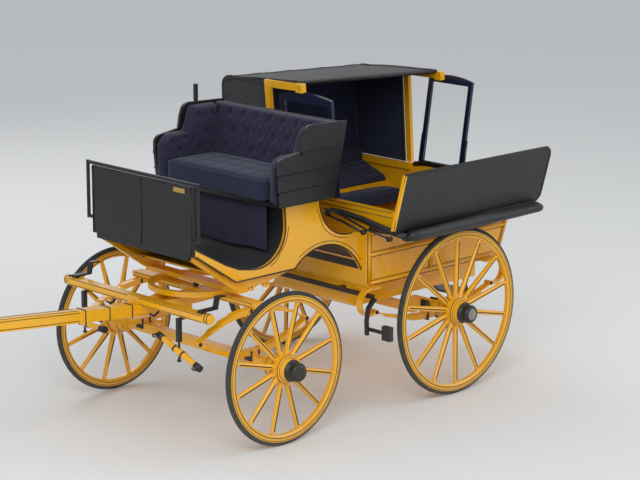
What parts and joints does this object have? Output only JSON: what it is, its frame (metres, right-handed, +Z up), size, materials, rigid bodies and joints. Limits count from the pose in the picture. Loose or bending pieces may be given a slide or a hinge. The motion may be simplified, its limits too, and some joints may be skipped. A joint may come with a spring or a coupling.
{
  "type": "horse drawn wagonette carriage",
  "caption": "Four-wheeled sprung wagonette with a driving seat over an arched boot, facing rear benches, a side-folding leather hood and a draught pole on a turntable.",
  "frame": {"origin": "middle of the underside of the whole vehicle's box, on the ground", "axes": "+X forward along the pole, +Y to the vehicle's left, +Z up"},
  "size_m": [5.4414, 1.876, 2.0004],
  "materials": {
    "yellow_paint": "gloss coach enamel",
    "black_iron": "gloss black",
    "black_leather": "satin",
    "navy_paint": "satin",
    "navy_cloth": "matt",
    "tyre_rubber": "matt",
    "mat": "matt",
    "bright_metal": "satin",
    "yellow_wood": "gloss coach enamel"
  },
  "bodies": {
    "body": {"boot": "yellow_wood", "footboard": "mat", "toe_brackets": "yellow_wood", "dash": "black_leather", "seat_ends": "black_leather", "seat_back": "black_leather", "driver_cushion": "navy_cloth", "driver_squab": "navy_cloth", "seat_fall": "navy_cloth", "side_panels": "yellow_wood", "end_panels": "yellow_wood", "foot_well": "yellow_wood", "passenger_floor": "mat", "elbow_rails": "yellow_wood", "bench_cushions": "navy_cloth", "bench_squabs": "navy_cloth", "front_glass_frame": "navy_paint", "hood_right": "black_leather", "hood_right_pillars": "yellow_wood", "hood_left_folded": "black_leather", "hood_left_pillars": "yellow_wood", "hood_irons": "black_iron", "door_hinges": "black_iron", "rear_step": "black_iron", "rear_axle": "yellow_paint", "rear_springs": "yellow_paint", "brake_gear": "black_iron", "brake_lever": "black_iron", "upper_bed": "yellow_wood", "kingpin": "black_iron"},
    "forecarriage": {"turntable_ring": "yellow_paint", "kingpin_bed": "yellow_wood", "front_axle": "yellow_paint", "front_springs": "yellow_paint", "futchells": "yellow_wood", "splinter_bar": "yellow_wood", "step_treads": "black_iron", "swingletree_hangers": "black_iron", "pole": "yellow_wood", "pole_head": "black_iron"},
    "rear_door": {"rear_door": "yellow_wood", "door_glass_frame": "navy_paint", "door_handle": "bright_metal"},
    "left_swingletree": {"left_swingletree": "yellow_wood"},
    "right_swingletree": {"right_swingletree": "yellow_wood"},
    "front_left_wheel": {"front_left_tyre": "tyre_rubber", "front_left_rim": "yellow_wood", "front_left_spokes": "yellow_wood"},
    "front_right_wheel": {"front_right_tyre": "tyre_rubber", "front_right_rim": "yellow_wood", "front_right_spokes": "yellow_wood"},
    "rear_left_wheel": {"rear_left_tyre": "tyre_rubber", "rear_left_rim": "yellow_wood", "rear_left_spokes": "yellow_wood"},
    "rear_right_wheel": {"rear_right_tyre": "tyre_rubber", "rear_right_rim": "yellow_wood", "rear_right_spokes": "yellow_wood"}
  },
  "joints": [
    {"name": "steering", "type": "hinge", "parent": "body", "child": "forecarriage", "pos_m": [-0.31944, -0.018, 0.806], "axis": [0, 0, 1], "range_deg": [-45, 45]},
    {"name": "front_left_wheel_spin", "type": "hinge", "parent": "forecarriage", "child": "front_left_wheel", "pos_m": [-0.31944, 0.772, 0.466], "axis": [0, 1, 0], "continuous": true},
    {"name": "front_right_wheel_spin", "type": "hinge", "parent": "forecarriage", "child": "front_right_wheel", "pos_m": [-0.31944, -0.808, 0.466], "axis": [0, 1, 0], "continuous": true},
    {"name": "rear_left_wheel_spin", "type": "hinge", "parent": "body", "child": "rear_left_wheel", "pos_m": [-1.81444, 0.772, 0.54], "axis": [0, 1, 0], "continuous": true},
    {"name": "rear_right_wheel_spin", "type": "hinge", "parent": "body", "child": "rear_right_wheel", "pos_m": [-1.81444, -0.808, 0.54], "axis": [0, 1, 0], "continuous": true},
    {"name": "rear_door_hinge", "type": "hinge", "parent": "body", "child": "rear_door", "pos_m": [-2.53044, -0.28, 0.9], "axis": [0, 0, 1], "range_deg": [0, 100]},
    {"name": "left_swingletree_pivot", "type": "hinge", "parent": "forecarriage", "child": "left_swingletree", "pos_m": [0.19756, 0.422, 0.6], "axis": [0, 0, 1], "range_deg": [-15, 15]},
    {"name": "right_swingletree_pivot", "type": "hinge", "parent": "forecarriage", "child": "right_swingletree", "pos_m": [0.19756, -0.458, 0.6], "axis": [0, 0, 1], "range_deg": [-15, 15]}
  ]
}
